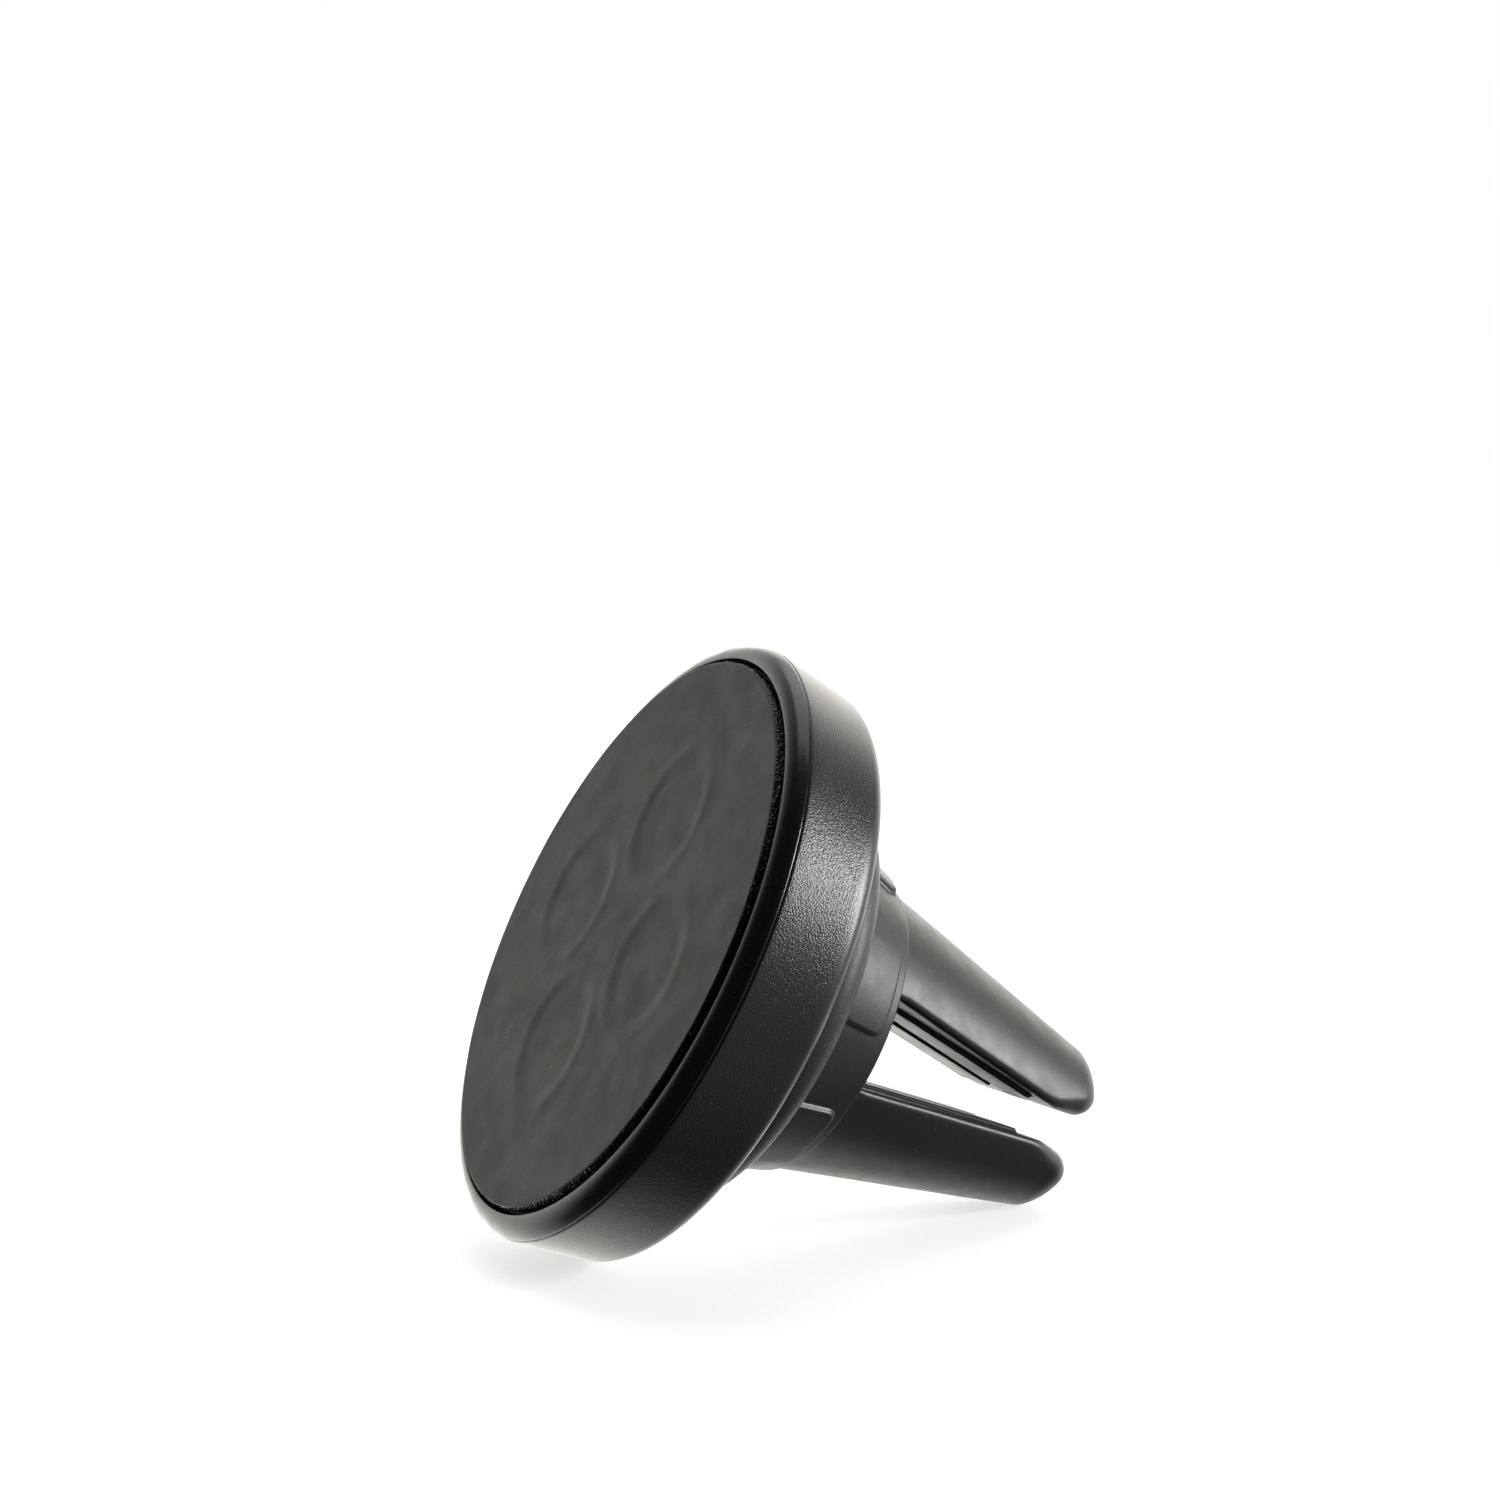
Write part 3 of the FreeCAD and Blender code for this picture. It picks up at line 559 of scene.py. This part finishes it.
COLLAR_FRONT_R, COLLAR_REAR_R = 12.75, 11.2
COLLAR_WALL, COLLAR_WEB = 1.5, 1.0
GRIP_COUNT, GRIP_ANGLE, GRIP_CLOCKING, GRIP_RISE = 6, 30.6, 16.5, 0.4


def grip_mask(angle, z):
    """1 on the raised grip pads and 0 between them, with soft sides."""
    step = 2 * math.pi / GRIP_COUNT
    turn = (angle - math.radians(GRIP_CLOCKING) + step / 2) % step - step / 2
    half = math.radians(GRIP_ANGLE) / 2 * COLLAR_FRONT_R
    front, rear = COLLAR_FRONT - 0.25, COLLAR_REAR + 0.85
    middle, half_height = (front + rear) / 2, (front - rear) / 2
    corner = np.where(z < middle, 0.75, 0.15)
    dx = np.abs(turn) * COLLAR_FRONT_R - half + corner
    dz = np.abs(z - middle) - half_height + corner
    outside = np.hypot(np.maximum(dx, 0), np.maximum(dz, 0)) + np.minimum(np.maximum(dx, dz), 0) - corner
    return 1 - smoothstep(-0.16, 0.10, outside)


def make_collar():
    core_front, core_rear = COLLAR_FRONT_R - COLLAR_WALL, COLLAR_REAR_R - COLLAR_WALL
    outer = rounded_profile([
        (COLLAR_FRONT_R + 0.02, COLLAR_FRONT, 0.12),
        (core_front, COLLAR_FRONT),
        (core_rear, COLLAR_REAR + COLLAR_WEB),
        (1.0, COLLAR_REAR + COLLAR_WEB),
        (1.0, COLLAR_REAR),
        (COLLAR_REAR_R, COLLAR_REAR, 0.22),
    ], steps=6)
    outer = refine(outer, 0.10)

    def grips(r, z, a):
        share = (COLLAR_FRONT - z) / (COLLAR_FRONT - COLLAR_REAR)
        skin = COLLAR_FRONT_R + (COLLAR_REAR_R - COLLAR_FRONT_R) * share
        on_side = smoothstep(0.35, 0.05, np.abs(r - skin)) * (z < COLLAR_FRONT - 0.1)
        points = np.stack([r * np.cos(a), r * np.sin(a), z], -1).reshape(-1, 3)
        uneven = value_noise(points, 1.6, 71).reshape(r.shape) * 0.012
        flash = smoothstep(COLLAR_FRONT - 0.35, COLLAR_FRONT - 0.1, z) * 0.05
        burr = value_noise(points, 0.5, 72).reshape(r.shape) * 0.02
        burr = burr * smoothstep(COLLAR_FRONT - 0.3, COLLAR_FRONT, z)
        flaws = (uneven + flash + burr) * (np.abs(r - skin) < 0.3)
        return r + (GRIP_RISE * grip_mask(a, z) * on_side + flaws), z

    points, faces = lathe(outer, 900, grips)
    collar = add_mesh("collar_grip_sleeve", points, faces, [clip_rubber])
    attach(collar, "clip")
    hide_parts("collar_sleeve")


make_collar()

# ---------------------------------------------------------------- fingers

FINGER_SIDES = {1: (1, 1), 2: (-1, 1), 3: (-1, -1), 4: (1, -1)}
FINGER_LENGTH = FINGER_ROOT - FINGER_TIP
ROOT_R, TIP_R = 10.9, 6.05
NOSE_R = 2.2
SLOT_ROUNDING, FACE_ROUNDING = 1.6, 0.6
TIP_OPENING = 0.3
SLOT_ROOT_X, SLOT_TIP_X = 1.0, 0.6
FACE_ROOT_Y, FACE_NECK_Y, LEAD_IN_Y = 3.3, 1.3, 1.25
LEAD_IN_LENGTH = 4.9
STRIP_END = 6.0
STRIP_WIDTH, STRIP_RISE = 4.7, 0.3
ROOT_BURY = 0.15


def round_max(a, b, radius):
    """Meeting of two half spaces (positive outside) with a rounded edge."""
    u = np.maximum(a + radius, 0)
    v = np.maximum(b + radius, 0)
    return np.minimum(np.maximum(a, b), -radius) + np.hypot(u, v)


def round_min(a, b, radius):
    return -round_max(-a, -b, radius)


def finger_field(p):
    """Below 0 inside the finger of the first quadrant."""
    x, y, z = p[:, 0], p[:, 1], p[:, 2]
    share = (FINGER_ROOT - z) / FINGER_LENGTH
    neck = 1 - LEAD_IN_LENGTH / FINGER_LENGTH
    cone = np.hypot(x, y) - (ROOT_R + (TIP_R - ROOT_R) * share)
    side_x = SLOT_ROOT_X + (SLOT_TIP_X - SLOT_ROOT_X) * share - x
    face_y = FACE_ROOT_Y + (FACE_NECK_Y - FACE_ROOT_Y) * share / neck
    open_y = np.maximum(face_y, LEAD_IN_Y) + TIP_OPENING * smoothstep(0.78, 1.0, share)
    near_tip = smoothstep(0.72, 0.95, share)
    at_root = smoothstep(0.03, -0.02, share)
    blade = round_max(cone, side_x, SLOT_ROUNDING)
    blade = round_max(blade, open_y - y, FACE_ROUNDING + 1.4 * near_tip - 0.2 * at_root)
    blade = round_max(blade, FINGER_TIP - z, NOSE_R)
    slot_x = SLOT_ROOT_X + (SLOT_TIP_X - SLOT_ROOT_X) * share
    strip = round_max(x - (slot_x + STRIP_WIDTH), side_x, 0.12)
    strip = round_max(strip, face_y - STRIP_RISE - y, 0.22)
    strip = round_max(strip, y - face_y - 0.8, 0.1)
    strip = round_max(strip, share * FINGER_LENGTH - (FINGER_LENGTH - STRIP_END), 0.28)
    strip = np.maximum(strip, blade - 0.6)
    return round_min(blade, strip, 0.16)


def cast(starts, directions):
    """Where each ray leaves the finger."""
    low = np.zeros(len(starts))
    high = np.full(len(starts), 16.0)
    for _ in range(34):
        middle = (low + high) / 2
        inside = finger_field(starts + directions * middle[:, None]) < 0
        low = np.where(inside, middle, low)
        high = np.where(inside, high, middle)
    return starts + directions * low[:, None]


def spine_point(z):
    share = np.clip((FINGER_ROOT - z) / FINGER_LENGTH, 0, 1)
    return np.array([4.4 + (2.55 - 4.4) * share, 5.9 + (3.05 - 5.9) * share, z])


def finger_points():
    rays = 224
    turns = np.arange(rays) * 2 * math.pi / rays
    flat = np.stack([np.cos(turns), np.sin(turns), 0 * turns], 1)
    top = COLLAR_REAR + ROOT_BURY
    pole_height = FINGER_TIP + 2.6
    below_root = FINGER_ROOT - 0.6
    heights = np.concatenate([
        np.linspace(top, below_root, 9)[:-1],
        np.linspace(below_root, pole_height, 70),
    ])
    starts, directions = [], []
    for z in heights:
        starts.append(np.repeat(spine_point(z)[None, :], rays, axis=0))
        directions.append(flat)
    for dip in np.radians(np.linspace(3, 88, 30)):
        starts.append(np.repeat(spine_point(pole_height)[None, :], rays, axis=0))
        directions.append(flat * math.cos(dip) + np.array([0, 0, -math.sin(dip)]))
    points = cast(np.concatenate(starts), np.concatenate(directions))
    tip = cast(spine_point(pole_height)[None, :], np.array([[0, 0, -1.0]]))
    return points, tip, rays, len(starts)


def make_fingers():
    points, tip, rays, rows = finger_points()
    faces = grid_faces(rows, rays)
    faces.append(tuple(range(rays)))
    last = (rows - 1) * rays
    faces += [(last + j, last + (j + 1) % rays, rows * rays) for j in range(rays)]
    quadrant = np.concatenate([points, tip])
    for number, (x_side, y_side) in FINGER_SIDES.items():
        placed = quadrant * np.array([x_side, y_side, 1])
        uneven = value_noise(placed, 3.0, 90 + number) * 0.02
        placed = placed - np.stack([x_side * uneven, y_side * uneven, 0 * uneven], 1) * 0.5
        finger = add_mesh(f"finger_skin_{number}", placed, faces, [clip_rubber])
        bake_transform(finger)
        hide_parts(f"finger_sleeve_{number}")


make_fingers()

# ---------------------------------------------------------------- pieces inside

HIDDEN = {
    "pad_adhesive": hidden_finish("adhesive_foam", (0.5, 0.49, 0.45), 0.8),
    "magnet_carrier": hidden_finish("carrier_plastic", (0.04, 0.04, 0.04), 0.5),
    "steel_yoke": hidden_finish("steel_plate", (0.56, 0.57, 0.58), 0.3, 1.0),
    "shell_screws": hidden_finish("screw_zinc", (0.62, 0.61, 0.58), 0.28, 1.0, 0.2),
    "clip_core": hidden_finish("core_nylon", (0.05, 0.05, 0.052), 0.5),
    "friction_ring": hidden_finish("friction_silicone", (0.32, 0.33, 0.34), 0.6),
}
HIDDEN["retaining_washer"] = HIDDEN["steel_yoke"]
HIDDEN["pivot_screw"] = HIDDEN["shell_screws"]
magnet_nickel = hidden_finish("magnet_nickel", (0.72, 0.70, 0.66), 0.16, 1.0, 0.3)
for number in range(1, 5):
    HIDDEN[f"magnet_{number}"] = magnet_nickel
    HIDDEN[f"finger_core_{number}"] = HIDDEN["clip_core"]
for node, material in HIDDEN.items():
    for slot in frame["nodes"][node].material_slots:
        slot.material = material

# ---------------------------------------------------------------- floor, light, camera


def make_floor():
    n = Nodes("studio_floor")
    mottle = n.mix(n.noise(60.0), (0.80, 0.80, 0.80, 1), (0.84, 0.84, 0.84, 1))
    n.finish(mottle, 0.7)
    # The floor glows: painted light. Its emission is dimmer near the object and brighter farther off, a
    # painted pool of shade round the object.
    n.shader.inputs["Emission Color"].default_value = (1, 1, 1, 1)
    away = n.node("ShaderNodeVectorMath", {0: n.place}, operation="LENGTH").outputs["Value"]
    n.tree.links.new(n.fit(away, 0.05, 0.30, 0.68, 1.1), n.shader.inputs["Emission Strength"])
    mesh = bpy.data.meshes.new("studio_floor")
    half = 3.0
    corners = [(-half, -half, 0), (half, -half, 0), (half, half, 0), (-half, half, 0)]
    mesh.from_pydata(corners, [], [(0, 1, 2, 3)])
    mesh.materials.append(n.material)
    floor = bpy.data.objects.new("studio_floor", mesh)
    bpy.context.scene.collection.objects.link(floor)
    # The tent below the object lights it, so the floor itself is left out of its reflections.
    floor.visible_glossy = False
    floor.visible_diffuse = False


def add_softbox(name, direction, distance, size, power):
    centre = Vector(world([0, 0, 4]))
    light = bpy.data.lights.new(name, "AREA")
    light.shape = "RECTANGLE"
    light.size, light.size_y = size
    light.energy = power
    lamp = bpy.data.objects.new(name, light)
    toward = Vector(direction).normalized()
    lamp.location = centre + toward * distance
    lamp.rotation_mode = "QUATERNION"
    lamp.rotation_quaternion = toward.to_track_quat("Z", "Y")
    bpy.context.scene.collection.objects.link(lamp)


make_floor()
add_softbox("softbox_right", (0.43, 0.87, 0.17), 0.6, (0.13, 0.24), 3.6)
add_softbox("softbox_top", (-0.35, 0.25, 1.0), 0.8, (0.6, 0.6), 1.5)

# The light tent: a dim wall, and bright lobes. Each lobe is a direction, the cosines
# between which it fades in, and its level.
TENT_WALL = 0.045
TENT_TINT = (1.03, 1.0, 0.955)
TENT_LOBES = (
    ((-0.90, 0.30, 0.10), 0.15, 0.85, 0.55),
    ((-0.85, 0.52, 0.05), 0.80, 0.98, 1.10),
    ((-0.30, 0.93, -0.20), 0.80, 0.97, 0.90),
    ((-0.72, 0.60, 0.34), 0.86, 0.98, 1.10),
    ((-0.95, -0.18, -0.15), 0.60, 0.95, 0.95),
    ((-0.75, 0.10, -0.65), 0.60, 0.97, 0.90),
    ((0.78, 0.50, -0.38), 0.60, 0.97, 0.22),
)


def make_tent():
    studio = bpy.data.worlds.new("studio")
    studio.use_nodes = True
    tree = studio.node_tree
    place = tree.nodes.new("ShaderNodeTexCoord")
    total = None
    for direction, fade_from, fade_to, level in TENT_LOBES:
        side = tree.nodes.new("ShaderNodeVectorMath")
        side.operation = "DOT_PRODUCT"
        side.inputs[1].default_value = Vector(direction).normalized()
        tree.links.new(place.outputs["Generated"], side.inputs[0])
        lobe = tree.nodes.new("ShaderNodeMapRange")
        lobe.interpolation_type = "SMOOTHSTEP"
        for key, value in (("From Min", fade_from), ("From Max", fade_to), ("To Max", level)):
            lobe.inputs[key].default_value = value
        tree.links.new(side.outputs["Value"], lobe.inputs["Value"])
        plus = tree.nodes.new("ShaderNodeMath")
        if total is None:
            plus.inputs[1].default_value = TENT_WALL
        else:
            tree.links.new(total, plus.inputs[1])
        tree.links.new(lobe.outputs["Result"], plus.inputs[0])
        total = plus.outputs[0]
    warm = tree.nodes.new("ShaderNodeCombineColor")
    for channel, share in zip(("Red", "Green", "Blue"), TENT_TINT):
        tint = tree.nodes.new("ShaderNodeMath")
        tint.operation = "MULTIPLY"
        tint.inputs[1].default_value = share
        tree.links.new(total, tint.inputs[0])
        tree.links.new(tint.outputs[0], warm.inputs[channel])
    path = tree.nodes.new("ShaderNodeLightPath")
    backdrop = tree.nodes.new("ShaderNodeMix")
    backdrop.data_type = "RGBA"
    tree.links.new(path.outputs["Is Camera Ray"], backdrop.inputs[0])
    tree.links.new(warm.outputs[0], backdrop.inputs[6])
    backdrop.inputs[7].default_value = (1, 1, 1, 1)
    tree.links.new(backdrop.outputs[2], tree.nodes["Background"].inputs["Color"])
    bpy.context.scene.world = studio


make_tent()
bpy.context.scene.view_settings.view_transform = "Standard"

CAMERA_PLACE = (195.53, -10.215, 87.89)
CAMERA_RIGHT = np.array([0.39066, 0.39756, -0.83026])
CAMERA_DOWN = np.array([0.04817, -0.90953, -0.41285])
camera_data = bpy.data.cameras.new("camera")
camera_data.lens = 72
camera_data.sensor_width = 36
camera_data.clip_start = 0.01
camera = bpy.data.objects.new("camera", camera_data)
right = Vector(CAMERA_RIGHT @ TO_WORLD)
up = Vector(-CAMERA_DOWN @ TO_WORLD)
back = right.cross(up)
turn = Matrix((right, up, back)).transposed().to_4x4()
camera.matrix_world = Matrix.Translation(Vector(world(CAMERA_PLACE))) @ turn
bpy.context.scene.collection.objects.link(camera)
bpy.context.scene.camera = camera
